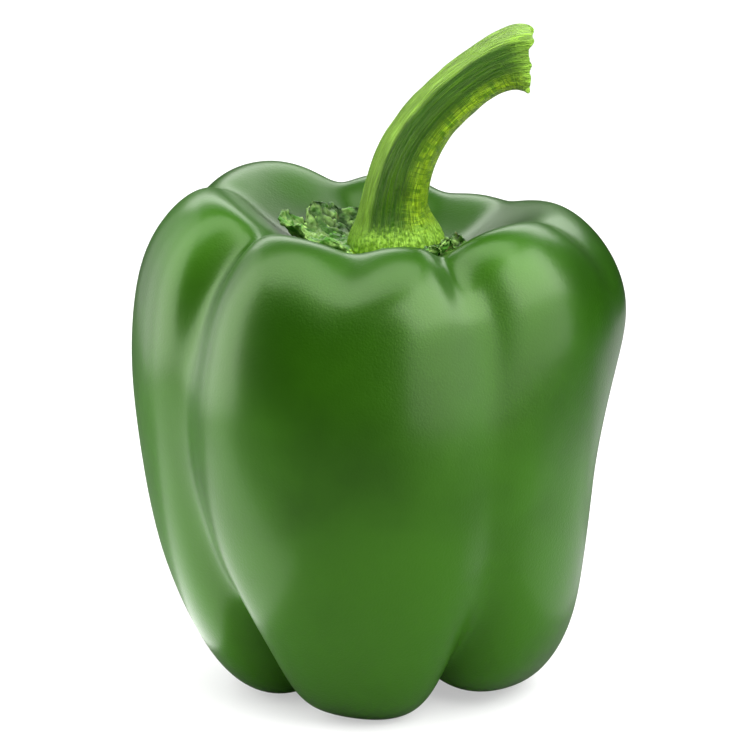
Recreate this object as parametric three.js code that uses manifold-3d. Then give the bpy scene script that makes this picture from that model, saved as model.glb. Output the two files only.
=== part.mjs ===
// A green bell pepper standing on the feet of its lobes, as picked, with its calyx and its bent stem.
// Millimetres, +Z up. The front of the pepper faces -Y, and azimuths run anticlockwise from +X.

import * as THREE from "three";
import { mergeVertices } from "three/addons/utils/BufferGeometryUtils.js";
import Module from "manifold-3d";

const wasm = await Module();
wasm.setup();

// Driving dimensions

const CROWN = 90; // height of the lobes' rounded tops above the surface
const GAP = 0.3; // clearance between touching pieces
const AROUND = 90; // facets round the fruit
const ALONG = 44; // facets from the base, up the side and down into the pit

// The lobes: how far each one reaches from the axis at its shoulder, its waist and its foot,
// how much higher or lower its top is than CROWN, and how far its underside is off the surface.
const LOBES = [
  { azimuth: 234, shoulder: 44.5, waist: 43, foot: 36, rise: 1, lift: 2 }, // front, left half
  { azimuth: 276, shoulder: 43, waist: 41.5, foot: 35.2, rise: -1, lift: 0 }, // front, right half
  { azimuth: 326, shoulder: 44, waist: 39.5, foot: 37.2, rise: -1.5, lift: 3 }, // front right
  { azimuth: 8, shoulder: 45.2, waist: 36.5, foot: 37.5, rise: -3.5, lift: 0 }, // back right
  { azimuth: 52, shoulder: 43, waist: 40, foot: 36, rise: -5, lift: 3 }, // back, right half
  { azimuth: 92, shoulder: 43, waist: 41, foot: 36.5, rise: -1.6, lift: -1.5 }, // back, left half
  { azimuth: 140, shoulder: 45.3, waist: 43, foot: 37, rise: 1.5, lift: 2 }, // back left
  { azimuth: 194, shoulder: 47, waist: 44.5, foot: 37.6, rise: 3, lift: 0.5 }, // front left
];
const LOBE_FOCUS = 10; // how sharply one lobe's sizes give way to the next one's

// The furrows between the lobes: azimuths at the crown, the waist and the foot, and the strength there.
// The last ones only crease a lobe's top.
const FURROWS = [
  { azimuth: [221, 214, 221], width: 10, strength: [0.8, 0.75, 1.0] }, // front left
  { azimuth: [292, 291, 299], width: 10, strength: [0.9, 0.25, 0.85] }, // front right
  { azimuth: [108, 110, 112], width: 12, strength: [0.8, 0.8, 1.0] }, // back left
  { azimuth: [40, 38, 38], width: 12, strength: [0.3, 0.5, 1.0] }, // back right
  { azimuth: [259, 261, 261], width: 9, strength: [0.7, 0, 0] }, // front lobe
  { azimuth: [168, 168, 168], width: 12, strength: [0.8, 0.3, 0] }, // left lobe
  { azimuth: [348, 350, 350], width: 12, strength: [0.5, 0.05, 0] }, // right lobe
  { azimuth: [302, 301, 301], width: 7, strength: [0.2, 0.1, 0] }, // beside the front right furrow
  { azimuth: [68, 68, 68], width: 11, strength: [0.5, 0.1, 0] }, // back lobe
];
const CREASE = 0.35; // rounding of a furrow's bottom, in furrow widths

// The skin, as control rows from the middle of the base, out and up the side, and in to the pit:
// reach is a share of the lobe's reach, level a share of its height, cut how deep a full furrow bites
// inwards, and drop how far it sinks (or, under the base, lifts) the skin.
const ROWS = [
  { reach: 0.0, level: 0.1, cut: 0, drop: 0 }, // blossom end
  { reach: 0.17, level: 0.085, cut: 0, drop: -1 },
  { reach: 0.36, level: -0.005, cut: 0, drop: -6 },
  { reach: 0.57, level: -0.025, cut: 3, drop: -10 }, // tread of the foot
  { reach: 0.78, level: 0.015, cut: 8, drop: -9 },
  { reach: 0.94, level: 0.13, cut: 10, drop: -4 },
  { reach: 1.0, level: 0.3, cut: 9, drop: 0 },
  { reach: 1.0, level: 0.5, cut: 7, drop: 0 }, // waist
  { reach: 1.01, level: 0.7, cut: 6.5, drop: 0 },
  { reach: 1.0, level: 0.87, cut: 7, drop: 1 }, // shoulder
  { reach: 0.88, level: 1.0, cut: 7, drop: 3 },
  { reach: 0.69, level: 1.035, cut: 4, drop: 5 }, // crown
  { reach: 0.51, level: 0.975, cut: 1, drop: 4 },
  { reach: 0.34, level: 0.905, cut: 0, drop: 1.5 }, // pit
  { reach: 0.16, level: 0.885, cut: 0, drop: 0 },
  { reach: 0.0, level: 0.885, cut: 0, drop: 0 },
];
const FOOT_LEVEL = 0.12;
const WAIST_LEVEL = 0.45;
const SHOULDER_LEVEL = 0.8;

// The calyx: a crinkled, scalloped disc that lies in the pit, with a level seat for the stem
const CALYX_RADIUS = 16;
const CALYX_SWING = 2.5; // its edge reaches this much further on the left, and less far on the right
const CALYX_LOBES = 6;
const CALYX_SCALLOP = 1.4;
const CALYX_THICK = 1.5;
const CALYX_CURL = 1.3; // how far its edge stands up from the pit
const CALYX_CRINKLE = 0.5; // height of its crinkles
const CRINKLES = 13; // round the calyx
const SEAT_LEVEL = 82.2;
const CALYX_AROUND = 72;
const CALYX_ALONG = 20;

// The stem: its centre line in the plane of its bend, and its radius at each point
const STEM_ROWS = [
  { x: 2.1, z: SEAT_LEVEL + GAP, radius: 8.5 }, // foot, on the calyx
  { x: 1.9, z: 84.4, radius: 8.8 },
  { x: 1.7, z: 86.8, radius: 7.3 },
  { x: 1.6, z: 90, radius: 6 }, // neck
  { x: 2.5, z: 94.5, radius: 5.7 },
  { x: 4.1, z: 99.4, radius: 5.3 },
  { x: 7, z: 104.1, radius: 5 },
  { x: 10.9, z: 108.5, radius: 4.9 },
  { x: 15.4, z: 112.4, radius: 4.8 },
  { x: 20, z: 115.2, radius: 5.1 },
  { x: 23.5, z: 116.1, radius: 6.1 }, // swelling behind the cut
  { x: 25.5, z: 116, radius: 6.1 },
];
const STEM_RIBS = 5;
const STEM_RIB_HEIGHT = 0.05; // share of the radius
const STEM_TWIST = 50; // turn of the ribs from foot to tip
const STEM_DISH = 0.8; // depth of the dished cut face
const STEM_END_SHARE = 0.12; // share of the stem's skin that closes each end
const STEM_AROUND = 32;
const STEM_ALONG = 36;

// Geometry helpers

const rad = (degrees) => (degrees * Math.PI) / 180;

// The signed angle from azimuth b to azimuth a, both in degrees, in radians
const turn = (a, b) => Math.atan2(Math.sin(rad(a - b)), Math.cos(rad(a - b)));

// 0 at from, 1 at to and beyond
const between = (value, from, to) => THREE.MathUtils.clamp((value - from) / (to - from), 0, 1);

// A smooth curve through three values at three levels
function throughThree(level, low, middle, high) {
  const a = FOOT_LEVEL, b = WAIST_LEVEL, c = SHOULDER_LEVEL;
  const t = Math.min(Math.max(level, a), c);
  return (
    (low * (t - b) * (t - c)) / ((a - b) * (a - c)) +
    (middle * (t - a) * (t - c)) / ((b - a) * (b - c)) +
    (high * (t - a) * (t - b)) / ((c - a) * (c - b))
  );
}

// One value of the lobes, blended smoothly round the fruit
function lobeBlend(azimuth, valueOf) {
  let sum = 0, weights = 0;
  for (const lobe of LOBES) {
    const weight = Math.exp(LOBE_FOCUS * (Math.cos(turn(azimuth, lobe.azimuth)) - 1));
    sum += weight * valueOf(lobe);
    weights += weight;
  }
  return sum / weights;
}

// How deep the furrows are at an azimuth and a level: 0 on a lobe, 1 in a full furrow
function furrowDepth(azimuth, level) {
  const t = Math.min(Math.max(level, 0), 1);
  let depth = 0;
  for (const { azimuth: [crown, waist, foot], width, strength: [top, middle, bottom] } of FURROWS) {
    const x = turn(azimuth, throughThree(t, foot, waist, crown)) / rad(width);
    const strength = t < 0.5
      ? THREE.MathUtils.lerp(bottom, middle, THREE.MathUtils.smoothstep(t, 0.05, 0.5))
      : THREE.MathUtils.lerp(middle, top, THREE.MathUtils.smoothstep(t, 0.6, 1));
    depth += strength * Math.exp(CREASE - Math.hypot(x, CREASE));
  }
  return depth;
}

// The weights of four neighbouring control points on a uniform cubic B-spline
const splineWeights = (t) => [
  (1 - t) ** 3 / 6,
  (3 * t ** 3 - 6 * t ** 2 + 4) / 6,
  (-3 * t ** 3 + 3 * t ** 2 + 3 * t + 1) / 6,
  t ** 3 / 6,
];

// A point on the fruit's skin: along runs from 0 at the blossom end to 1 in the middle of the pit
function skinPoint(along, azimuth) {
  const last = ROWS.length - 1;
  const start = Math.min(Math.floor(along * last), last - 1);
  let radius = 0, height = 0;
  splineWeights(along * last - start).forEach((weight, k) => {
    const index = start + k - 1;
    const mirrored = index < 0 || index > last;
    const row = ROWS[index < 0 ? -index : index > last ? 2 * last - index : index];
    const reach = lobeBlend(azimuth, (l) => throughThree(row.level, l.foot, l.waist, l.shoulder));
    const rise = lobeBlend(azimuth, (l) => l.rise) * between(row.level, 0.5, 1) * between(row.reach, 0, 0.6);
    const lift = lobeBlend(azimuth, (l) => l.lift) * between(row.level, 0.3, 0.1) * between(row.reach, 0, 0.5);
    const depth = furrowDepth(azimuth, row.level);
    radius += weight * (row.reach * reach - depth * row.cut) * (mirrored ? -1 : 1);
    height += weight * (row.level * CROWN + rise + lift - depth * row.drop);
  });
  return new THREE.Vector3(radius * Math.cos(rad(azimuth)), radius * Math.sin(rad(azimuth)), height);
}

// A closed skin of rings, pinched to a point at each end
function closedSkin(around, along, pointAt) {
  const positions = [...pointAt(0, 0).toArray()];
  for (let j = 1; j < along; j++)
    for (let i = 0; i < around; i++)
      positions.push(...pointAt(j / along, (360 * i) / around).toArray());
  positions.push(...pointAt(1, 0).toArray());
  const tip = positions.length / 3 - 1;
  const at = (j, i) => 1 + (j - 1) * around + (i % around);
  const faces = [];
  for (let i = 0; i < around; i++) {
    faces.push(0, at(1, i + 1), at(1, i));
    for (let j = 1; j < along - 1; j++) {
      faces.push(at(j, i), at(j, i + 1), at(j + 1, i + 1));
      faces.push(at(j, i), at(j + 1, i + 1), at(j + 1, i));
    }
    faces.push(at(along - 1, i), at(along - 1, i + 1), tip);
  }
  const geometry = new THREE.BufferGeometry();
  geometry.setAttribute("position", new THREE.Float32BufferAttribute(positions, 3));
  geometry.setIndex(faces);
  geometry.computeVertexNormals();
  return geometry;
}

// A geometry as a solid for cutting, and back
function solidOf(geometry) {
  const bare = new THREE.BufferGeometry();
  bare.setAttribute("position", geometry.getAttribute("position"));
  bare.setIndex(geometry.getIndex());
  const { attributes, index } = mergeVertices(bare, 1e-4);
  return new wasm.Manifold(new wasm.Mesh({
    numProp: 3,
    vertProperties: new Float32Array(attributes.position.array),
    triVerts: new Uint32Array(index.array),
  }));
}

function geometryOf(solid) {
  const { vertProperties, triVerts } = solid.getMesh();
  const geometry = new THREE.BufferGeometry();
  geometry.setAttribute("position", new THREE.BufferAttribute(vertProperties, 3));
  geometry.setIndex(new THREE.BufferAttribute(triVerts, 1));
  geometry.computeVertexNormals();
  return geometry;
}

// The height of the pit at a distance from the axis
function pitHeight(radius, azimuth) {
  let low = 0.75, high = 1;
  for (let step = 0; step < 24; step++) {
    const middle = (low + high) / 2;
    const point = skinPoint(middle, azimuth);
    if (Math.hypot(point.x, point.y) > radius) low = middle;
    else high = middle;
  }
  return skinPoint(high, azimuth).z;
}

// Pieces

// The fruit: its lobed skin, cut level where each foot rests on the surface
function makeFruit() {
  const size = 4 * CROWN;
  const aboveSurface = new THREE.BoxGeometry(size, size, size).translate(0, 0, size / 2);
  return geometryOf(solidOf(closedSkin(AROUND, ALONG, skinPoint)).intersect(solidOf(aboveSurface)));
}

// The calyx: its underside follows the pit, its top is level under the stem and crinkled beyond it
function makeCalyx() {
  const foot = STEM_ROWS[0];
  return closedSkin(CALYX_AROUND, CALYX_ALONG, (along, azimuth) => {
    const a = rad(azimuth);
    const onEdge = Math.sin(Math.PI * along) ** 0.8; // 0 at both poles, 1 at the edge
    const edge = CALYX_RADIUS - CALYX_SWING * Math.cos(a) + CALYX_SCALLOP * Math.cos(CALYX_LOBES * a);
    const radius = edge * onEdge;
    const x = radius * Math.cos(a);
    const y = radius * Math.sin(a);
    const beyond = between(Math.hypot(x - foot.x, y), foot.radius + 1, foot.radius + 4);
    const crinkle = Math.sin(CRINKLES * a + 0.9 * radius) * Math.cos(1.3 * radius + 3 * Math.sin(2 * a));
    const curl = beyond * (CALYX_CRINKLE * (1 + crinkle) + CALYX_CURL * onEdge ** 6 * (1 - 0.6 * Math.cos(a)));
    const under = pitHeight(radius, azimuth) + GAP + curl;
    const top = Math.max(SEAT_LEVEL, under + CALYX_THICK);
    const rounding = 0.5 * CALYX_THICK * onEdge ** 12;
    return new THREE.Vector3(x, y, along <= 0.5 ? under + rounding : top - rounding);
  });
}

// A value of the stem's rows, t from 0 at its foot to 1 at its cut end, with the rows carried on past both
function stemValue(t, key) {
  const last = STEM_ROWS.length - 1;
  const start = Math.min(Math.floor(t * last), last - 1);
  return splineWeights(t * last - start).reduce((sum, weight, k) => {
    const index = start + k - 1;
    const here = STEM_ROWS[THREE.MathUtils.clamp(index, 0, last)][key];
    const inner = STEM_ROWS[index < 0 ? 1 : last - 1][key];
    return sum + weight * (index < 0 || index > last ? 2 * here - inner : here);
  }, 0);
}

// The stem's direction: upright at its foot, then along its centre line
function stemAhead(t) {
  const [from, to] = [Math.max(t - 1e-3, 0), Math.min(t + 1e-3, 1)];
  const step = (key) => stemValue(to, key) - stemValue(from, key);
  const ahead = new THREE.Vector3(step("x"), 0, step("z")).normalize();
  return ahead.lerp(new THREE.Vector3(0, 0, 1), between(t, 0.3, 0)).normalize();
}

// The stem: rings along its bent centre line, ribbed, flared at the foot and dished at the cut
function makeStem() {
  return closedSkin(STEM_AROUND, STEM_ALONG, (along, azimuth) => {
    const t = between(along, STEM_END_SHARE, 1 - STEM_END_SHARE);
    const closing = Math.min(along, 1 - along) / STEM_END_SHARE;
    const centre = new THREE.Vector3(stemValue(t, "x"), 0, stemValue(t, "z"));
    const ahead = stemAhead(t);
    const side = new THREE.Vector3(0, 1, 0);
    const across = new THREE.Vector3().crossVectors(side, ahead);
    const rib = 1 + STEM_RIB_HEIGHT * Math.cos(STEM_RIBS * rad(azimuth + STEM_TWIST * t));
    const radius = stemValue(t, "radius") * rib * Math.min(closing, 1);
    const dish = along > 0.5 ? STEM_DISH * (1 - Math.min(closing, 1) ** 2) : 0;
    return centre
      .addScaledVector(across, radius * Math.cos(rad(azimuth)))
      .addScaledVector(side, radius * Math.sin(rad(azimuth)))
      .addScaledVector(ahead, -dish);
  });
}

// Assembly

const FINISHES = {
  fruit: { color: 0x2f6b12, roughness: 0.3 },
  calyx: { color: 0x3f7a35, roughness: 0.7 },
  stem: { color: 0x7fae35, roughness: 0.6 },
};

const pepper = new THREE.Group();
const pieces = { fruit: makeFruit(), calyx: makeCalyx(), stem: makeStem() };
for (const [name, geometry] of Object.entries(pieces)) {
  const mesh = new THREE.Mesh(geometry, new THREE.MeshStandardMaterial({ ...FINISHES[name], metalness: 0 }));
  mesh.name = name;
  pepper.add(mesh);
}

// The origin is the middle of the footprint, on the surface
const bounds = new THREE.Box3().setFromObject(pepper);
const middle = bounds.getCenter(new THREE.Vector3());
for (const mesh of pepper.children) mesh.geometry.translate(-middle.x, -middle.y, -bounds.min.z);

export default pepper;
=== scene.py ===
# A green bell pepper: one operator makes each of its pieces, and one makes the stage that shows it.
# Metres, +Z up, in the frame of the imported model. The tables of the pepper's form are in millimetres.

import math

import bpy
import numpy as np
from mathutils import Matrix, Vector


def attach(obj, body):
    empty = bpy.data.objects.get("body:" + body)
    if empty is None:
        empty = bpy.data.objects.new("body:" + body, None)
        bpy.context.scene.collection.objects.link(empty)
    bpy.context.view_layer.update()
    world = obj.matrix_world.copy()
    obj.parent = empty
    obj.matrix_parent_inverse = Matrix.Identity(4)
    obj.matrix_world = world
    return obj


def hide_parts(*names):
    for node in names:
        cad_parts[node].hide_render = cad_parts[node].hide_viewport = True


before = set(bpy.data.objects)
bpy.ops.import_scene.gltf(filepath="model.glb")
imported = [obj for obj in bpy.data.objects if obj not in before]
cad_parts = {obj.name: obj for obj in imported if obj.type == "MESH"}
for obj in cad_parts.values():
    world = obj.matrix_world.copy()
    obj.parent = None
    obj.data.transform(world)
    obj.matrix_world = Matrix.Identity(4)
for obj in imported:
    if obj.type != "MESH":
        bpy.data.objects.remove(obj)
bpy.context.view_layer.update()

bl_info = {
    "name": "Green bell pepper",
    "version": (1, 0, 0),
    "blender": (4, 5, 0),
    "location": "3D View > Sidebar > Pepper",
    "description": "Makes a green bell pepper with its calyx and stem, and a plain studio stage",
    "category": "Add Mesh",
}

MM = 0.001
AXIS = Vector((1.38, 0.67, 0)) * MM  # the pepper's own axis in the frame
GAP = 0.3 * MM  # what the calyx keeps to the pit

# The fruit's form: that of the solid, with its crest, lobes and furrows fitted closer to the photo.
# A lobe reaches out by shoulder, waist and foot, its crest rises by rise and its foot by lift.
CROWN = 90  # the height at level 1
LOBES = [
    dict(azimuth=228, shoulder=46.5, waist=44.3, foot=36.4, rise=-1, lift=2),
    dict(azimuth=276, shoulder=42.3, waist=41.5, foot=33.8, rise=-2.1, lift=0.6),
    dict(azimuth=326, shoulder=44, waist=39.5, foot=37.2, rise=-0.5, lift=3),
    dict(azimuth=8, shoulder=44.8, waist=36.5, foot=37.5, rise=-3.5, lift=0),
    dict(azimuth=52, shoulder=43, waist=40, foot=36, rise=-5, lift=3),
    dict(azimuth=92, shoulder=43, waist=41, foot=36.5, rise=-1.6, lift=-1.5),
    dict(azimuth=140, shoulder=45.3, waist=43, foot=37, rise=1.5, lift=2),
    dict(azimuth=190, shoulder=47, waist=44.2, foot=37.8, rise=3, lift=1.2),
]
LOBE_FOCUS = 10  # how quickly one lobe passes into the next
RISE_LEVELS, RISE_SHARES = (0.5, 1), (0, 0.6)  # levels and shares of the reach over which a rise grows
LIFT_LEVELS, LIFT_SHARES = (0.3, 0.1), (0, 0.5)  # the same for a lift

# The furrows: azimuths at the crown, the waist and the foot, width in degrees, and strength at five levels.
# A furrow's middle is a sharp crease where soft is 0 and a round valley where it is 1.
FURROW_LEVELS = (0, 0.45, 0.8, 0.93, 1.0)
FURROWS = [
    dict(azimuth=(219.5, 215, 222), width=5, strength=(1.1, 0.5, 0.6, 0.85, 1.1),
         soft=(0.4, 0.7, 0.5, 0.35, 0.35)),
    dict(azimuth=(292, 294, 302), width=5, strength=(0, 0, 0.08, 0.15, 0.8)),
    dict(azimuth=(298.5, 298, 302), width=9, strength=(0.85, 0.22, 0.6, 0.5, 0.25)),
    dict(azimuth=(108, 110, 112), width=12, strength=(1.0, 0.8, 0.8, 0.8, 0.8)),
    dict(azimuth=(40, 38, 38), width=12, strength=(1.0, 0.5, 0.4, 0.3, 0.3)),
    dict(azimuth=(258, 257, 257), width=10, strength=(0, 0, 0, 0.08, 0.65)),
    dict(azimuth=(168, 168, 168), width=12, strength=(0, 0.3, 0.6, 0.7, 0.8)),
    dict(azimuth=(346, 348, 348), width=11, strength=(0, 0, 0.05, 0.2, 0.55)),
    dict(azimuth=(68, 68, 68), width=11, strength=(0, 0.1, 0.3, 0.4, 0.5)),
]
CREASE = (0.35,) * len(FURROW_LEVELS)  # how soft the other furrows are
REACH = 40  # mean reach of the lobes
POLE_SHARE = 0.02  # share of the reach at which the two ends are closed

# The skin's control rows, from the blossom end out and up the side and in to the pit:
# share of the lobe's reach, level, a furrow's bite inwards and its sinking
ROWS = [
    (0.0, 0.1, 0, 0),
    (0.17, 0.085, 0, -1),
    (0.36, -0.005, 0, -6),
    (0.57, -0.025, 3, -10),
    (0.78, 0.015, 8, -9),
    (0.94, 0.13, 10, -4),
    (1.0, 0.3, 9, 0),
    (1.0, 0.5, 7, 0),
    (1.008, 0.67, 6.6, 0),
    (0.99, 0.8, 6.8, 0.5),
    (0.952, 0.895, 7, 1.5),
    (0.875, 0.965, 7, 2.8),
    (0.77, 1.015, 5.5, 4),
    (0.65, 1.03, 3.2, 5),
    (0.51, 0.975, 1, 4),
    (0.34, 0.905, 0, 1.5),
    (0.16, 0.885, 0, 0),
    (0.0, 0.885, 0, 0),
]
FOOT_LEVEL = 0.12
WAIST_LEVEL = 0.45
SHOULDER_LEVEL = 0.8

# The calyx
CALYX_HOLE = 4 * MM  # radius of its hole, which the stem's foot covers
CALYX_DROP = 1.3 * CROWN * MM  # height from which it is laid onto the fruit
CRINKLES_FROM, CRINKLES_FULL = 7, 11  # millimetres from the stem's middle
CALYX_CURL = 2.4 * MM  # how high its edge curls up

# The stem's centre line in the plane of its bend, and its radius, from its foot to its cut end
STEM_ROWS = [
    (2.1, 81.6, 8.9),
    (1.9, 84.2, 8.6),
    (1.7, 86.8, 6.8),
    (1.6, 90, 5.9),
    (2.5, 94.5, 5.7),
    (4.1, 99.4, 5.3),
    (7, 104.1, 5),
    (10.9, 108.5, 4.9),
    (15.4, 112.4, 4.8),
    (20, 115.2, 5.1),
    (23.5, 116.1, 6.1),
    (25.5, 116, 6.1),
]

FIRST_RIDGE = math.radians(235)  # azimuth of one of its ridges
RIDGE, GROOVE, FLARE_GROOVE, KNOB = 0.055, 0.008, 0.012, 0.05  # heights as shares of its radius
FLARE_END, UPRIGHT_END, KNOB_START = 0.2, 0.3, 0.93  # where its parts end or start, as shares of its length
CUT_INSET, CUT_DEPTHS = 1.4, (0.2, 0.6)  # the dish in the cut end, in two steps
RAG = 0.28  # how far the cut end's rim is torn out and in

# The camera, as it stood for the photo
CAMERA_ELEVATION = 16
CAMERA_DISTANCE = 0.8
CAMERA_AIM = AXIS + Vector((-1.8, 0, 58.1)) * MM
CAMERA_LENS = 213.9
CAMERA_SENSOR = 36

# The soft lights in metres: a light's centre, the point that it faces, its two sides and its radiance
MIDDLE = (0, 0, 0.06)
LIGHTS = {
    "Left softbox": ((-0.20, -0.045, 0.19), (0, -0.045, 0.19), (0.14, 0.36), 6.0),
    "Left middle": ((-0.20, 0.07, 0.19), (0, 0.07, 0.19), (0.09, 0.36), 2.6),
    "Left fill": ((-0.20, 0.20, 0.19), (0, 0.20, 0.19), (0.17, 0.36), 0.8),
    "Left reflector": ((-0.105, -0.025, 0.003), (-0.105, -0.025, 1), (0.14, 0.09), 2.3),
    "Right reflector": ((0.095, 0.01, 0.003), (0.095, 0.01, 1), (0.09, 0.10), 0.6),
    "Right softbox": ((0.19, -0.12, 0.245), MIDDLE, (0.38, 0.20), 8),
    "Right low softbox": ((0.22, -0.17, 0.08), MIDDLE, (0.36, 0.16), 3.2),
    "Right back reflector": ((0.14, 0.17, 0.003), (0.14, 0.17, 1), (0.12, 0.2), 0.6),
    "Top softbox": ((-0.03, -0.095, 0.5), (-0.03, -0.095, 0), (0.5, 0.27), 5.5),
    "Back softbox": ((0.02, 0.42, 0.39), (0.02, -0.04, 0.09), (0.7, 0.22), 4.0),
}


# Settings that a user would change

class PEPPER_PG_fruit(bpy.types.PropertyGroup):
    """Settings of the fruit"""
    sides: bpy.props.IntProperty(
        name="Sides", description="Faces round the cage before it is subdivided", default=88, min=24)
    levels: bpy.props.IntProperty(
        name="Levels", description="Levels of subdivision of the cage", default=3, min=1, max=4)
    ripple: bpy.props.FloatProperty(
        name="Ripple", description="Height of the skin's slow unevenness", default=0.25 * MM, unit="LENGTH",
        precision=5)
    deep: bpy.props.FloatVectorProperty(
        name="Deep green", description="The skin's darker green", subtype="COLOR", size=4,
        default=(0.006, 0.031, 0.0001, 1))
    # The light green is mottled in at random and, as painted light, more of it towards the bottom and near
    # the crown.
    light: bpy.props.FloatVectorProperty(
        name="Light green", description="The skin's lighter green", subtype="COLOR", size=4,
        default=(0.0165, 0.074, 0.0005, 1))
    scar: bpy.props.FloatVectorProperty(
        name="Scar", description="Colour of the scar at the blossom end", subtype="COLOR", size=4,
        default=(0.09, 0.06, 0.022, 1))


class PEPPER_PG_calyx(bpy.types.PropertyGroup):
    """Settings of the calyx"""
    sides: bpy.props.IntProperty(
        name="Sides", description="Faces round the calyx before it is subdivided", default=200, min=24)
    rings: bpy.props.IntProperty(
        name="Rings", description="Faces from the stem to the edge before subdivision", default=28, min=8)
    radius: bpy.props.FloatProperty(
        name="Radius", description="Mean radius of the calyx", default=16 * MM, unit="LENGTH", precision=4)
    thickness: bpy.props.FloatProperty(
        name="Thickness", description="Thickness of the calyx at its edge", default=1.5 * MM, unit="LENGTH",
        precision=4)
    crinkle: bpy.props.FloatProperty(
        name="Crinkle", description="Height of its crinkles", default=0.9 * MM, unit="LENGTH", precision=5)
    # The dark green is painted shade, laid in the calyx's hollows.
    dark: bpy.props.FloatVectorProperty(
        name="Dark green", description="Colour in its hollows", subtype="COLOR", size=4,
        default=(0.005, 0.024, 0.0015, 1))
    green: bpy.props.FloatVectorProperty(
        name="Green", description="Colour of its leaf", subtype="COLOR", size=4,
        default=(0.075, 0.24, 0.025, 1))
    # The bright green is partly the leaf's paler tissue and partly painted glints, mottled in at random.
    bright: bpy.props.FloatVectorProperty(
        name="Bright green", description="Colour on its folds", subtype="COLOR", size=4,
        default=(0.3, 0.5, 0.13, 1))
    brown: bpy.props.FloatVectorProperty(
        name="Brown", description="Colour of its dry strands", subtype="COLOR", size=4,
        default=(0.3, 0.2, 0.1, 1))
    fresh: bpy.props.FloatVectorProperty(
        name="Fresh green", description="Colour of the fresh spot at the stem", subtype="COLOR", size=4,
        default=(0.22, 0.42, 0.02, 1))


class PEPPER_PG_stem(bpy.types.PropertyGroup):
    """Settings of the stem"""
    stations: bpy.props.IntProperty(
        name="Stations", description="Extruded steps along the stem", default=56, min=12)
    sides: bpy.props.IntProperty(
        name="Sides", description="Faces round the stem before subdivision", default=48, min=12)
    ribs: bpy.props.IntProperty(name="Ribs", description="Ridges along the stem", default=5, min=3)
    # The dark green is the stem's own dark streaks and specks, and on its front band partly painted shade.
    dark: bpy.props.FloatVectorProperty(
        name="Dark green", description="Colour of the band in front", subtype="COLOR", size=4,
        default=(0.01, 0.05, 0.0002, 1))
    green: bpy.props.FloatVectorProperty(
        name="Green", description="Colour of the streaks", subtype="COLOR", size=4,
        default=(0.062, 0.15, 0.003, 1))
    yellow: bpy.props.FloatVectorProperty(
        name="Yellow green", description="Colour of the fine lines inside the bend", subtype="COLOR", size=4,
        default=(0.2, 0.33, 0.01, 1))
    # The pale green is the stem's own colour at the foot and the cut end, and outside the bend partly
    # painted highlight.
    pale: bpy.props.FloatVectorProperty(
        name="Pale green", description="Colour outside the bend, at the foot and at the cut end",
        subtype="COLOR", size=4, default=(0.2, 0.37, 0.035, 1))


class PEPPER_PG_stage(bpy.types.PropertyGroup):
    """Settings of the studio"""
    brightness: bpy.props.FloatProperty(
        name="Brightness", description="Share of the studio lights' full strength", default=1.0, min=0,
        subtype="FACTOR")
    floor_size: bpy.props.FloatProperty(
        name="Floor", description="Side of the floor", default=6.0, unit="LENGTH")


# Rules of the fruit's form

def turn(a, b):
    """The signed angle from azimuth b to azimuth a, both in degrees, in radians."""
    return np.arctan2(np.sin(np.radians(a - b)), np.cos(np.radians(a - b)))


def between(value, start, end):
    """0 at start, 1 at end and beyond."""
    return np.clip((value - start) / (end - start), 0, 1)


def smooth(value, start, end):
    """0 at start, 1 at end, with a soft beginning and end."""
    t = between(value, start, end)
    return t * t * (3 - 2 * t)


def through_three(level, low, middle, high):
    """A smooth curve through three values at the foot, the waist and the shoulder."""
    a, b, c = FOOT_LEVEL, WAIST_LEVEL, SHOULDER_LEVEL
    t = min(max(level, a), c)
    return (
        low * (t - b) * (t - c) / ((a - b) * (a - c))
        + middle * (t - a) * (t - c) / ((b - a) * (b - c))
        + high * (t - a) * (t - b) / ((c - a) * (c - b))
    )


def lobe_blend(azimuth, value_of):
    """One value of the lobes, blended smoothly round the fruit."""
    weights = [np.exp(LOBE_FOCUS * (np.cos(turn(azimuth, lobe["azimuth"])) - 1)) for lobe in LOBES]
    return sum(w * value_of(lobe) for w, lobe in zip(weights, LOBES)) / sum(weights)


def furrow_depth(azimuth, level):
    """How deep the furrows are: 0 on a lobe, 1 in a full furrow."""
    t = min(max(level, 0), 1)
    k = max(1, next(i for i, high in enumerate(FURROW_LEVELS) if t <= high))
    share = smooth(t, FURROW_LEVELS[k - 1], FURROW_LEVELS[k])
    depth = 0
    for furrow in FURROWS:
        crown, waist, foot = furrow["azimuth"]
        strength, soft = (
            values[k - 1] + (values[k] - values[k - 1]) * share
            for values in (furrow["strength"], furrow.get("soft", CREASE)))
        x = turn(azimuth, through_three(t, foot, waist, crown)) / math.radians(furrow["width"])
        depth = depth + strength * np.exp(soft - np.hypot(x, soft))
    return depth


def control_row(row, azimuth):
    """Radius and height of one control row, in millimetres."""
    share, level, cut, drop = row
    reach = lobe_blend(
        azimuth, lambda lobe: through_three(level, lobe["foot"], lobe["waist"], lobe["shoulder"]))
    rise = lobe_blend(azimuth, lambda lobe: lobe["rise"])
    rise = rise * between(level, *RISE_LEVELS) * between(share, *RISE_SHARES)
    lift = lobe_blend(azimuth, lambda lobe: lobe["lift"])
    lift = lift * between(level, *LIFT_LEVELS) * between(share, *LIFT_SHARES)
    depth = furrow_depth(azimuth, level)
    return share * reach - depth * cut, level * CROWN + rise + lift - depth * drop


def spline_weights(t):
    """Weights of four neighbouring control points on a uniform cubic B-spline."""
    return (
        (1 - t) ** 3 / 6,
        (3 * t ** 3 - 6 * t ** 2 + 4) / 6,
        (-3 * t ** 3 + 3 * t ** 2 + 3 * t + 1) / 6,
        t ** 3 / 6,
    )


# Mesh helpers

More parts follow.
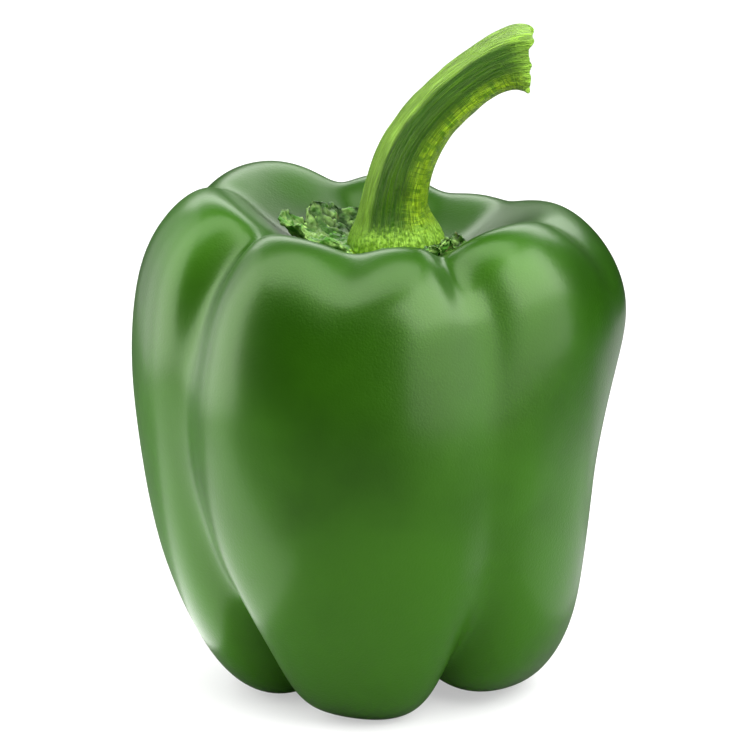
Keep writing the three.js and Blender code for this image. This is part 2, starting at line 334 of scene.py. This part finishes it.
def new_primitive(make, name, **sizes):
    """Adds a primitive with nothing else selected, and names it."""
    bpy.ops.object.select_all(action="DESELECT")
    make(**sizes)
    piece = bpy.context.object
    piece.name = name
    piece.data.name = name
    return piece


def places(piece):
    """The piece's vertices as an array."""
    values = np.zeros(len(piece.data.vertices) * 3)
    piece.data.vertices.foreach_get("co", values)
    return values.reshape(-1, 3)


def place(piece, values):
    """Moves the piece's vertices to these places."""
    piece.data.vertices.foreach_set("co", np.asarray(values, np.float32).ravel())
    piece.data.update()


def round_axis(points):
    """Distance from the pepper's axis, and the angle round it."""
    x, y, _ = (points - np.array(AXIS)).T
    return np.hypot(x, y), np.arctan2(y, x)


def keep_attribute(piece, name, values):
    """Keeps three numbers for each vertex, for the material to read."""
    attribute = piece.data.attributes.new(name, "FLOAT_VECTOR", "POINT")
    attribute.data.foreach_set("vector", np.asarray(values, np.float32).ravel())


def apply_modifier(piece, kind, **settings):
    """Adds one modifier with these settings and applies it."""
    modifier = piece.modifiers.new(kind.title(), kind)
    for name, value in settings.items():
        setattr(modifier, name, value)
    bpy.context.view_layer.objects.active = piece
    bpy.ops.object.modifier_apply(modifier=modifier.name)


def subdivide_smoothly(piece, levels):
    """Rounds the piece by this many levels of subdivision."""
    apply_modifier(piece, "SUBSURF", levels=levels, render_levels=levels)


def cloud(name, size, depth=2, hard=False):
    """A procedural noise for the displace modifier."""
    texture = bpy.data.textures.new(name, "CLOUDS")
    texture.noise_scale = size
    texture.noise_depth = depth
    texture.noise_type = "HARD_NOISE" if hard else "SOFT_NOISE"
    texture.noise_basis = "IMPROVED_PERLIN"
    return texture


def crumple(piece, name, size, height, group="", **noise):
    """Raises and sinks the surface by a noise of this size."""
    apply_modifier(piece, "DISPLACE", texture=cloud(name, size, **noise), strength=height, mid_level=0.5,
                   vertex_group=group)


def finish_piece(piece, node, material):
    """Smooth shading, material, and the calls that tie the piece to the frame."""
    bpy.ops.object.select_all(action="DESELECT")
    piece.select_set(True)
    bpy.context.view_layer.objects.active = piece
    bpy.ops.object.transform_apply(location=True, rotation=True, scale=True)
    bpy.ops.object.shade_smooth()
    piece.data.materials.clear()
    piece.data.materials.append(material)
    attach(piece, "root")
    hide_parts(node)


# Node helpers

def add_node(tree, kind, inputs=None, **settings):
    """Adds a node, sets its properties, and sets or links its inputs."""
    made = tree.nodes.new(kind)
    for name, value in settings.items():
        setattr(made, name, value)
    for name, value in (inputs or {}).items():
        socket = made.inputs[name]
        if isinstance(value, bpy.types.NodeSocket):
            tree.links.new(value, socket)
        else:
            socket.default_value = value
    return made


def new_group(name, inputs, outputs):
    """A shader node group with named sockets, and its input and output nodes."""
    tree = bpy.data.node_groups.new(name, "ShaderNodeTree")
    for label, kind, value in inputs:
        socket = tree.interface.new_socket(label, in_out="INPUT", socket_type=kind)
        if value is not None:
            socket.default_value = value
    for label, kind in outputs:
        tree.interface.new_socket(label, in_out="OUTPUT", socket_type=kind)
    return tree, tree.nodes.new("NodeGroupInput"), tree.nodes.new("NodeGroupOutput")


def use_group(tree, name, inputs):
    """Places a shared node group, which is made the first time, and sets or links its inputs."""
    group = bpy.data.node_groups.get(name) or GROUP_MAKERS[name]()
    return add_node(tree, "ShaderNodeGroup", inputs, node_tree=group)


def new_material(name):
    """An empty node material and its tree."""
    material = bpy.data.materials.new(name)
    material.use_nodes = True
    material.node_tree.nodes.clear()
    return material, material.node_tree


def show(tree, shader, output="ShaderNodeOutputMaterial"):
    """Links a shader to the tree's output."""
    add_node(tree, output, {"Surface": shader.outputs[0]})


def mix_colours(tree, share, first, second):
    """Mixes two colours, each a socket or a value, by a share."""
    return add_node(tree, "ShaderNodeMix", {0: share, 6: first, 7: second}, data_type="RGBA").outputs[2]


def mix_shaders(tree, share, first, second):
    """Mixes two shaders by a share."""
    return add_node(tree, "ShaderNodeMixShader", {0: share, 1: first.outputs[0], 2: second.outputs[0]})


def ramp(tree, value, start, end, low=0.0, high=1.0, soft=True):
    """A number that goes from low to high as the value goes from start to end."""
    return add_node(tree, "ShaderNodeMapRange", {
        "Value": value, "From Min": start, "From Max": end, "To Min": low, "To Max": high},
        interpolation_type="SMOOTHSTEP" if soft else "LINEAR").outputs["Result"]


def arithmetic(tree, operation, *values):
    """The result of one operation on numbers."""
    return add_node(tree, "ShaderNodeMath", dict(enumerate(values)), operation=operation).outputs["Value"]


def vector_step(tree, operation, *values):
    """The result of one operation on vectors: a number or a vector."""
    made = add_node(tree, "ShaderNodeVectorMath", dict(enumerate(values)), operation=operation)
    return made.outputs["Value" if operation in ("LENGTH", "DISTANCE", "DOT_PRODUCT") else "Vector"]


def noise(tree, vector, scale, detail):
    """A soft noise between 0 and 1."""
    return add_node(tree, "ShaderNodeTexNoise", {
        "Vector": vector, "Scale": scale, "Detail": detail}).outputs["Fac"]


def bump(tree, height, strength, distance):
    """The normal of a surface with this relief."""
    return add_node(tree, "ShaderNodeBump", {
        "Height": height, "Strength": strength, "Distance": distance}).outputs["Normal"]


def mottle_group():
    """Two colours mixed by a soft noise."""
    tree, given, result = new_group(
        "Mottle",
        [("Vector", "NodeSocketVector", None), ("Scale", "NodeSocketFloat", 60.0),
         ("Low", "NodeSocketFloat", 0.4), ("High", "NodeSocketFloat", 0.6),
         ("First", "NodeSocketColor", (0, 0, 0, 1)), ("Second", "NodeSocketColor", (1, 1, 1, 1))],
        [("Color", "NodeSocketColor"), ("Mask", "NodeSocketFloat")])
    cloudy = noise(tree, given.outputs["Vector"], given.outputs["Scale"], 3.0)
    mask = ramp(tree, cloudy, given.outputs["Low"], given.outputs["High"])
    colour = mix_colours(tree, mask, given.outputs["First"], given.outputs["Second"])
    tree.links.new(colour, result.inputs["Color"])
    tree.links.new(mask, result.inputs["Mask"])
    return tree


def grain_group():
    """The height of a fine grain, for a bump."""
    tree, given, result = new_group(
        "Grain",
        [("Vector", "NodeSocketVector", None), ("Fine", "NodeSocketFloat", 2500.0),
         ("Coarse", "NodeSocketFloat", 500.0), ("Coarse share", "NodeSocketFloat", 0.5)],
        [("Height", "NodeSocketFloat")])
    fine = noise(tree, given.outputs["Vector"], given.outputs["Fine"], 2.0)
    coarse = noise(tree, given.outputs["Vector"], given.outputs["Coarse"], 2.0)
    blend = add_node(tree, "ShaderNodeMix", {0: given.outputs["Coarse share"], 2: fine, 3: coarse})
    tree.links.new(blend.outputs[0], result.inputs["Height"])
    return tree


GROUP_MAKERS = {"Mottle": mottle_group, "Grain": grain_group}


# Materials

def skin_material(settings):
    """Smooth waxy skin: two greens, painted lighter towards the bottom and near the crown as painted light,
    a fine grain, and the brown scar at the blossom end.
    """
    material, tree = new_material("Pepper skin")
    where = add_node(tree, "ShaderNodeTexCoord").outputs["Object"]
    height = add_node(tree, "ShaderNodeSeparateXYZ", {0: where}).outputs["Z"]
    # Painted light: the mottle turns to its light green towards the bottom and near the crown, standing in
    # for light from the floor below and from above.
    painted_light_below = ramp(tree, height, CROWN * MM, 20 * MM, 0.4, -0.35, soft=False)
    painted_light_crown = ramp(tree, height, 80 * MM, CROWN * MM, 0.0, -0.4)
    low = arithmetic(tree, "ADD", painted_light_below, painted_light_crown)
    mottle = use_group(tree, "Mottle", {
        "Vector": where, "Scale": 45.0, "Low": low, "High": arithmetic(tree, "ADD", low, 0.9),
        "First": settings.deep, "Second": settings.light})
    grain = use_group(tree, "Grain", {
        "Vector": where, "Fine": 2600.0, "Coarse": 700.0, "Coarse share": 0.3})
    blossom_end = (*AXIS.xy, 0.1 * CROWN * MM)
    ragged = arithmetic(tree, "MULTIPLY", noise(tree, where, 900.0, 3.0), 3 * MM)
    away = arithmetic(tree, "ADD", vector_step(tree, "DISTANCE", where, blossom_end), ragged)
    scar = ramp(tree, away, 5.2 * MM, 3.6 * MM)
    shader = add_node(tree, "ShaderNodeBsdfPrincipled", {
        "Base Color": mix_colours(tree, scar, mottle.outputs["Color"], settings.scar),
        "Roughness": ramp(tree, mottle.outputs["Mask"], 0.0, 1.0, 0.34, 0.4, soft=False),
        "Normal": bump(tree, grain.outputs["Height"], 0.2, 0.3 * MM),
        "IOR": 1.43, "Specular Tint": (0.5, 1, 0.2, 1),
        "Coat Weight": 0.35, "Coat Roughness": 0.24, "Coat IOR": 1.45})
    show(tree, shader)
    return material


def calyx_material(settings):
    """Crinkled leaf tissue: hollows painted dark as painted shade, green and pale folds whose pale green is
    partly painted glints, brown strands, a fresh spot at the stem.
    """
    material, tree = new_material("Calyx")
    where = add_node(tree, "ShaderNodeTexCoord").outputs["Object"]
    relief = add_node(tree, "ShaderNodeAttribute", attribute_name="relief").outputs["Vector"]
    raised = add_node(tree, "ShaderNodeSeparateXYZ", {0: relief}).outputs["X"]
    # The bright green in this mottle is partly paler tissue and partly painted glints.
    mottle = use_group(tree, "Mottle", {
        "Vector": where, "Scale": 420.0, "Low": 0.4, "High": 0.58,
        "First": settings.green, "Second": settings.bright}).outputs["Color"]
    strands = use_group(tree, "Mottle", {
        "Vector": where, "Scale": 260.0, "Low": 0.62, "High": 0.68,
        "First": mottle, "Second": settings.brown}).outputs["Color"]
    # Painted shade: the crinkles' hollows, found from their kept height, are painted dark green.
    painted_hollow_shade = mix_colours(tree, ramp(tree, raised, -0.45, 0.25, soft=False), settings.dark, strands)
    fresh_spot = (0, -0.55, -0.32)  # left of the stem and in front, in the calyx's radii
    aside = vector_step(tree, "MULTIPLY", vector_step(tree, "SUBTRACT", relief, fresh_spot), (0, 1, 1))
    away = vector_step(tree, "LENGTH", aside)
    # Painted light: round the fresh spot the painted shade in the hollows is eased halfway back to the
    # mottled greens, a painted lighter patch.
    hollow_shade_eased = mix_colours(tree, ramp(tree, away, 1.05, 0.5, 0.0, 0.5), painted_hollow_shade, mottle)
    final = mix_colours(tree, ramp(tree, away, 0.3, 0.12), hollow_shade_eased, settings.fresh)
    grain = use_group(tree, "Grain", {
        "Vector": where, "Fine": 2600.0, "Coarse": 900.0, "Coarse share": 0.5})
    shader = add_node(tree, "ShaderNodeBsdfPrincipled", {
        "Base Color": final, "Roughness": 0.3,
        "Normal": bump(tree, grain.outputs["Height"], 0.6, 0.5 * MM),
        "IOR": 1.42, "Specular Tint": (0.6, 1, 0.4, 1)})
    show(tree, shader)
    return material


def stem_material(settings):
    """Fibrous stalk: streaks along it, a dark band in front that is partly painted shade, cross lines inside
    the bend, a pale foot, and a pale side outside the bend that is partly painted highlight.
    """
    material, tree = new_material("Stem")
    where = add_node(tree, "ShaderNodeTexCoord").outputs["Object"]
    fibre = add_node(tree, "ShaderNodeAttribute", attribute_name="fibre").outputs["Vector"]
    split = add_node(tree, "ShaderNodeSeparateXYZ", {0: fibre})
    inwards, length = split.outputs["X"], split.outputs["Z"]  # towards the inside of the bend, and along
    along = vector_step(tree, "MULTIPLY", fibre, (7, 7, 0.5))
    across = vector_step(tree, "MULTIPLY", fibre, (2.2, 2.2, 24))

    streaks = use_group(tree, "Mottle", {
        "Vector": along, "Scale": 1.6, "Low": 0.42, "High": 0.6,
        "First": settings.dark, "Second": settings.green})
    # Painted shade: the side of the stem that faces the front is painted towards the dark green, partly the
    # stem's own darker band and partly painted shade.
    front = vector_step(tree, "DOT_PRODUCT", fibre, (-0.24, -0.97, 0))
    band = ramp(tree, front, 0.7, 0.98, 0.0, 0.62)
    colour = mix_colours(tree, band, streaks.outputs["Color"], settings.dark)
    lines = use_group(tree, "Mottle", {
        "Vector": across, "Scale": 1.0, "Low": 0.36, "High": 0.62,
        "First": settings.green, "Second": settings.yellow})
    colour = mix_colours(tree, ramp(tree, inwards, 0.05, 0.6), colour, lines.outputs["Color"])
    # Painted highlight: the outside of the bend is painted pale green, partly the stem's own paler side and
    # partly painted highlight.
    outside = ramp(tree, inwards, -0.62, -0.74, 0.0, 0.8, soft=False)
    colour = mix_colours(tree, outside, colour, settings.pale)

    stipple = noise(tree, where, 1500.0, 2.0)
    reach = arithmetic(tree, "SUBTRACT", length, arithmetic(tree, "MULTIPLY", stipple, 0.5))
    dots = ramp(tree, stipple, 0.4, 0.62, 0.0, 0.85, soft=False)
    stippled = mix_colours(tree, dots, settings.green, settings.pale)
    colour = mix_colours(tree, ramp(tree, reach, 0.75, 0.25), colour, stippled)
    colour = mix_colours(tree, ramp(tree, length, 3.9, 4.7, 0.0, 0.75), colour, settings.pale)
    spots = use_group(tree, "Mottle", {"Vector": along, "Scale": 6.5, "Low": 0.53, "High": 0.38})
    above_foot = ramp(tree, reach, 0.25, 0.75, 0.08, 0.55)
    speck = arithmetic(tree, "MULTIPLY", spots.outputs["Mask"], above_foot)
    colour = mix_colours(tree, speck, colour, settings.dark)

    grain = use_group(tree, "Grain", {
        "Vector": where, "Fine": 2400.0, "Coarse": 900.0, "Coarse share": 0.5})
    rills = arithmetic(tree, "ADD", streaks.outputs["Mask"], grain.outputs["Height"])
    rills = arithmetic(tree, "MULTIPLY_ADD", speck, -1.8, rills)
    shader = add_node(tree, "ShaderNodeBsdfPrincipled", {
        "Base Color": colour, "Roughness": 0.4, "Normal": bump(tree, rills, 0.8, 0.3 * MM),
        "IOR": 1.42, "Specular Tint": (0.7, 1, 0.35, 1)})
    show(tree, shader)
    return material


# Operators

class PEPPER_OT_fruit(bpy.types.Operator):
    """Make the lobed fruit"""
    bl_idname = "pepper.fruit"
    bl_label = "Fruit"

    def execute(self, context):
        settings = context.scene.pepper_fruit
        rows = [(POLE_SHARE, *ROWS[0][1:]), *ROWS[1:-1], (POLE_SHARE, *ROWS[-1][1:])]
        start = AXIS + Vector((0, 0, rows[0][1] * CROWN * MM))
        cage = new_primitive(bpy.ops.mesh.primitive_circle_add, "fruit_skin", vertices=settings.sides,
                             radius=rows[0][0] * REACH * MM, location=start)
        bpy.ops.object.transform_apply(location=True)
        bpy.ops.object.mode_set(mode="EDIT")
        for last, row in zip(rows, rows[1:]):
            rise = (row[1] - last[1]) * CROWN * MM
            bpy.ops.mesh.extrude_region_move(TRANSFORM_OT_translate={"value": (0, 0, rise)})
            widen = row[0] / last[0]
            bpy.ops.transform.resize(value=(widen, widen, 1), center_override=AXIS)
        bpy.ops.object.mode_set(mode="OBJECT")
        self.push_lobes(cage, rows)
        subdivide_smoothly(cage, settings.levels)
        self.close_ends(cage)
        crumple(cage, "Skin ripple", 16 * MM, settings.ripple, depth=0)
        self.keep_above_floor(cage)
        finish_piece(cage, "fruit", skin_material(settings))
        return {"FINISHED"}

    def push_lobes(self, cage, rows):
        """Moves each ring of the round cage out to the lobes and in to the furrows."""
        points = places(cage).reshape(len(rows), -1, 3)
        _, angle = round_axis(points[0])
        for ring, row in zip(points, rows):
            radius, height = control_row(row, np.degrees(angle))
            ring[:] = np.stack([radius * np.cos(angle), radius * np.sin(angle), height], 1) * MM
            ring += np.array(AXIS)
        place(cage, points)

    def close_ends(self, cage):
        """Closes the small holes at the blossom end and in the pit, and turns all faces outwards."""
        bpy.ops.object.mode_set(mode="EDIT")
        bpy.ops.mesh.select_all(action="SELECT")
        bpy.ops.mesh.fill_holes(sides=0)
        bpy.ops.mesh.select_all(action="SELECT")
        bpy.ops.mesh.normals_make_consistent(inside=False)
        bpy.ops.object.mode_set(mode="OBJECT")

    def keep_above_floor(self, cage):
        """Flattens what would reach below the floor."""
        points = places(cage)
        points[:, 2] = np.maximum(points[:, 2], 0)
        place(cage, points)


def finished(name):
    """The finished piece of that name."""
    piece = bpy.data.objects.get(name)
    if piece is None:
        raise RuntimeError(f"{name} is made first")
    return piece


def calyx_edge(angle):
    """How far the calyx's lobed edge stands out from its mean radius, more on the left."""
    return (-2.5 * np.cos(angle) + 1.2 * np.cos(6 * angle) + 0.5 * np.cos(17 * angle + 1)) * MM


class PEPPER_OT_calyx(bpy.types.Operator):
    """Make the crinkled calyx that lies in the pit"""
    bl_idname = "pepper.calyx"
    bl_label = "Calyx"

    def execute(self, context):
        settings = context.scene.pepper_calyx
        calyx = new_primitive(bpy.ops.mesh.primitive_circle_add, "calyx_leaf", vertices=settings.sides,
                              radius=CALYX_HOLE, location=AXIS + Vector((0, 0, CALYX_DROP)))
        bpy.ops.object.transform_apply(location=True)
        bpy.ops.object.mode_set(mode="EDIT")
        width = (settings.radius - CALYX_HOLE) / settings.rings
        for k in range(settings.rings):
            share = (CALYX_HOLE + (k + 1) * width) / (CALYX_HOLE + k * width)
            bpy.ops.mesh.extrude_region_move(TRANSFORM_OT_translate={"value": (0, 0, 0)})
            bpy.ops.transform.resize(value=(share, share, 1), center_override=AXIS)
        bpy.ops.object.mode_set(mode="OBJECT")
        self.scallop(calyx, settings)
        apply_modifier(calyx, "SHRINKWRAP", target=finished("fruit_skin"), wrap_method="PROJECT",
                       use_project_z=True, use_positive_direction=False, use_negative_direction=True,
                       offset=GAP)
        self.curl(calyx, settings)
        self.crinkle(calyx, settings)
        finish_piece(calyx, "calyx", calyx_material(settings))
        return {"FINISHED"}

    def scallop(self, calyx, settings):
        """Draws the round edge out to its lobes, and more on the left."""
        points = places(calyx)
        distance, angle = round_axis(points)
        grow = 1 + between(distance, CALYX_HOLE, settings.radius) * calyx_edge(angle) / settings.radius
        middle = np.array(AXIS)[:2]
        points[:, :2] = middle + (points[:, :2] - middle) * grow[:, None]
        place(calyx, points)

    def curl(self, calyx, settings):
        """Raises the edge off the fruit."""
        points = places(calyx)
        distance, angle = round_axis(points)
        out = between(distance / (settings.radius + calyx_edge(angle)), 0.3, 1)
        points[:, 2] += out ** 4 * (1 + 0.5 * np.sin(11 * angle)) * CALYX_CURL
        place(calyx, points)

    def crinkle(self, calyx, settings):
        """Gives the leaf thickness and crinkles, and keeps their height and place for the material, which
        paints shade in the hollows from the height.
        """
        stem_foot = np.array(AXIS) + (STEM_ROWS[0][0] * MM, 0, 0)
        away = np.hypot(*(places(calyx) - stem_foot)[:, :2].T)
        weight = smooth(away / MM, CRINKLES_FROM, CRINKLES_FULL)
        group = calyx.vertex_groups.new(name="crinkled")
        for index in np.nonzero(weight > 0)[0]:
            group.add([int(index)], float(weight[index]), "REPLACE")
        apply_modifier(calyx, "SOLIDIFY", thickness=settings.thickness, offset=1)
        subdivide_smoothly(calyx, 1)
        smooth_form = places(calyx)
        crumple(calyx, "Crinkle", 2.4 * MM, settings.crinkle * 2, group="crinkled", depth=2, hard=True)
        crumple(calyx, "Fine crinkle", 0.8 * MM, settings.crinkle * 0.9, group="crinkled", depth=1)
        relief = (places(calyx) - smooth_form)[:, 2] / settings.crinkle
        side = (smooth_form - stem_foot) / settings.radius
        keep_attribute(calyx, "relief", np.stack([relief, side[:, 0], side[:, 1]], 1))


def stem_station(t):
    """Centre, way and radius of the stem at t, 0 at its foot and 1 at its cut end, in metres."""
    rows = np.array([2 * np.array(STEM_ROWS[0]) - STEM_ROWS[1], *STEM_ROWS,
                     2 * np.array(STEM_ROWS[-1]) - STEM_ROWS[-2]])

    def at(t):
        position = t * (len(STEM_ROWS) - 1)
        start = min(int(position), len(STEM_ROWS) - 2)
        return sum(w * rows[start + k] for k, w in enumerate(spline_weights(position - start)))

    x, z, radius = at(t) * MM
    step = at(min(t + 1e-3, 1)) - at(max(t - 1e-3, 0))
    upright = 1 - between(t, 0, UPRIGHT_END)
    ahead = Vector((step[0], 0, step[1])).normalized().lerp(Vector((0, 0, 1)), float(upright)).normalized()
    return Vector((x, 0, z)) + AXIS, ahead, radius


class PEPPER_OT_stem(bpy.types.Operator):
    """Make the bent, ribbed stem"""
    bl_idname = "pepper.stem"
    bl_label = "Stem"

    def execute(self, context):
        settings = context.scene.pepper_stem
        steps = [k / settings.stations for k in range(settings.stations + 1)]
        stations = [stem_station(t) for t in steps]
        centre, ahead, radius = stations[0]
        stem = new_primitive(bpy.ops.mesh.primitive_circle_add, "stem_stalk",
                             vertices=settings.sides, radius=radius, fill_type="NGON", location=centre)
        bpy.ops.object.transform_apply(location=True)
        bpy.ops.object.mode_set(mode="EDIT")
        for last, (centre, ahead, radius) in zip(stations, stations[1:]):
            bpy.ops.mesh.extrude_region_move(TRANSFORM_OT_translate={"value": centre - last[0]})
            tilt = math.atan2(ahead.x, ahead.z) - math.atan2(last[1].x, last[1].z)
            if abs(tilt) > 1e-7:
                bpy.ops.transform.rotate(value=-tilt, orient_axis="Y", orient_type="GLOBAL",
                                         center_override=centre)
            share = radius / last[2]
            bpy.ops.transform.resize(value=(share, share, share), center_override=centre)
        for depth in CUT_DEPTHS:
            bpy.ops.mesh.inset(thickness=CUT_INSET * MM)
            bpy.ops.transform.translate(value=-ahead * depth * MM)
        bpy.ops.object.mode_set(mode="OBJECT")
        self.cut_ridges(stem, settings, stations)
        subdivide_smoothly(stem, 1)
        self.keep_fibre(stem, stations)
        crumple(stem, "Stem unevenness", 5 * MM, 0.5 * MM, depth=1)
        finish_piece(stem, "stem", stem_material(settings))
        return {"FINISHED"}

    def cut_ridges(self, stem, settings, stations):
        """Sharp ridges and fine grooves along the stem, and a ragged rim at the cut end."""
        points = places(stem)
        t, angle, side, ahead = on_stem(points, stations)
        ridge = 1 - 2 * np.abs(np.sin(settings.ribs / 2 * (angle - FIRST_RIDGE))) ** 0.7
        groove = np.cos(29 * angle) + np.cos(41 * angle + 1)
        flare = 1 - smooth(t, 0.0, FLARE_END)
        end = smooth(t, KNOB_START, 1)
        share = RIDGE * ridge + (GROOVE + FLARE_GROOVE * flare) * groove
        share += end * KNOB * (np.cos(3 * angle + 1) + np.cos(7 * angle + 2) * 0.6)
        points += side * share[:, None]
        rag = end * (np.cos(5 * angle) + np.cos(9 * angle + 2) + np.cos(17 * angle + 1)) * RAG * MM
        points += ahead * rag[:, None]
        place(stem, points)

    def keep_fibre(self, stem, stations):
        """Keeps the way round the stem, as a cosine and a sine, and the way along it in centimetres."""
        t, angle, *_ = on_stem(places(stem), stations)
        length = t * sum((b[0] - a[0]).length for a, b in zip(stations, stations[1:])) / (10 * MM)
        keep_attribute(stem, "fibre", np.stack([np.cos(angle), np.sin(angle), length], 1))


def on_stem(points, stations):
    """Where points lie on the stem: share of its length, angle round it, offset from its middle, its way."""
    centres = np.array([station[0] for station in stations])
    aheads = np.array([station[1] for station in stations])
    offset = points[:, None] - centres[None]
    past = np.abs(np.einsum("ijk,jk->ij", offset, aheads))
    near = np.argmin(past + 0.3 * np.linalg.norm(offset, axis=2), 1)
    ahead = aheads[near]
    side = points - centres[near]
    right = np.stack([ahead[:, 2], np.zeros(len(ahead)), -ahead[:, 0]], 1)
    angle = np.arctan2(side[:, 1], np.einsum("ij,ij->i", side, right))
    return near / (len(stations) - 1), angle, side, ahead


def soft_light(name, centre, facing, size, radiance):
    """A rectangular soft light that faces a point. It shows in reflections and not to the camera."""
    data = bpy.data.lights.new(name, "AREA")
    data.shape = "RECTANGLE"
    data.size, data.size_y = size
    data.energy = radiance * math.pi * size[0] * size[1]
    light = bpy.data.objects.new(name, data)
    light.location = centre
    light.rotation_euler = (Vector(centre) - Vector(facing)).to_track_quat("Z", "Y").to_euler()
    light.visible_camera = False
    bpy.context.scene.collection.objects.link(light)


def floor_material():
    """Pale floor: white to the camera away from the fruit, grey in reflections, clear from below."""
    material, tree = new_material("Floor")
    path = add_node(tree, "ShaderNodeLightPath").outputs
    where = add_node(tree, "ShaderNodeTexCoord").outputs["Object"]
    away = vector_step(tree, "LENGTH", where)
    white = add_node(tree, "ShaderNodeBsdfPrincipled", {
        "Base Color": (0.45, 0.45, 0.45, 1), "Roughness": 1.0, "Specular IOR Level": 0.0,
        "Emission Color": (1, 1, 1, 1),
        "Emission Strength": ramp(tree, away, 0.1, 0.6, 0.45, 1.0, soft=False)})
    reflected = ramp(tree, away, 0.1, 0.22, 0.16, 0.06, soft=False)
    grey = add_node(tree, "ShaderNodeBsdfDiffuse", {
        "Color": ramp(tree, path["Is Glossy Ray"], 0.0, 1.0, 0.85, reflected, soft=False)})
    above = mix_shaders(tree, path["Is Camera Ray"], grey, white)
    clear = add_node(tree, "ShaderNodeBsdfTransparent")
    side = add_node(tree, "ShaderNodeNewGeometry").outputs["Backfacing"]
    show(tree, mix_shaders(tree, side, above, clear))
    return material


def studio_world():
    """Dim surroundings for reflections, an even light for matt surfaces, and white behind the floor."""
    world = bpy.data.worlds.new("Studio")
    world.use_nodes = True
    tree = world.node_tree
    tree.nodes.clear()
    path = add_node(tree, "ShaderNodeLightPath").outputs
    dim, even, white = (
        add_node(tree, "ShaderNodeBackground", {"Color": (1, 1, 1, 1), "Strength": strength})
        for strength in (0.02, 0.03, 1.0))
    matt = mix_shaders(tree, path["Is Diffuse Ray"], dim, even)
    show(tree, mix_shaders(tree, path["Is Camera Ray"], matt, white), "ShaderNodeOutputWorld")
    return world


class PEPPER_OT_stage(bpy.types.Operator):
    """Make the floor, the lights and the camera"""
    bl_idname = "pepper.stage"
    bl_label = "Stage"

    def execute(self, context):
        settings = context.scene.pepper_stage
        scene = context.scene
        floor = new_primitive(bpy.ops.mesh.primitive_plane_add, "floor", size=settings.floor_size)
        floor.data.materials.append(floor_material())
        for name, (centre, facing, size, radiance) in LIGHTS.items():
            soft_light(name, centre, facing, size, radiance * settings.brightness)
        scene.world = studio_world()
        scene.view_settings.view_transform = "Standard"
        elevation = math.radians(CAMERA_ELEVATION)
        back = Vector((0, -math.cos(elevation), math.sin(elevation)))
        data = bpy.data.cameras.new("Camera")
        data.lens = CAMERA_LENS
        data.sensor_width = CAMERA_SENSOR
        camera = bpy.data.objects.new("Camera", data)
        camera.location = CAMERA_AIM + back * CAMERA_DISTANCE
        camera.rotation_euler = back.to_track_quat("Z", "Y").to_euler()
        scene.collection.objects.link(camera)
        scene.camera = camera
        return {"FINISHED"}


class PEPPER_PT_panel(bpy.types.Panel):
    """The pepper's pieces and settings"""
    bl_idname = "PEPPER_PT_panel"
    bl_label = "Green bell pepper"
    bl_space_type = "VIEW_3D"
    bl_region_type = "UI"
    bl_category = "Pepper"

    def draw(self, context):
        for kind in PIECES:
            box = self.layout.box()
            box.operator(f"pepper.{kind}")
            settings = getattr(context.scene, f"pepper_{kind}")
            for name in settings.bl_rna.properties.keys():
                if name not in ("rna_type", "name"):
                    box.prop(settings, name)


PIECES = ("fruit", "calyx", "stem", "stage")
GROUPS = (PEPPER_PG_fruit, PEPPER_PG_calyx, PEPPER_PG_stem, PEPPER_PG_stage)
OPERATORS = (PEPPER_OT_fruit, PEPPER_OT_calyx, PEPPER_OT_stem, PEPPER_OT_stage)


def register():
    for item in (*GROUPS, *OPERATORS, PEPPER_PT_panel):
        bpy.utils.register_class(item)
    for kind, group in zip(PIECES, GROUPS):
        setattr(bpy.types.Scene, f"pepper_{kind}", bpy.props.PointerProperty(type=group))


def unregister():
    for kind in PIECES:
        delattr(bpy.types.Scene, f"pepper_{kind}")
    for item in reversed((*GROUPS, *OPERATORS, PEPPER_PT_panel)):
        bpy.utils.unregister_class(item)


def main():
    register()
    bpy.ops.pepper.stage()
    bpy.ops.pepper.fruit()
    bpy.ops.pepper.calyx()
    bpy.ops.pepper.stem()


if __name__ == "__main__":
    main()
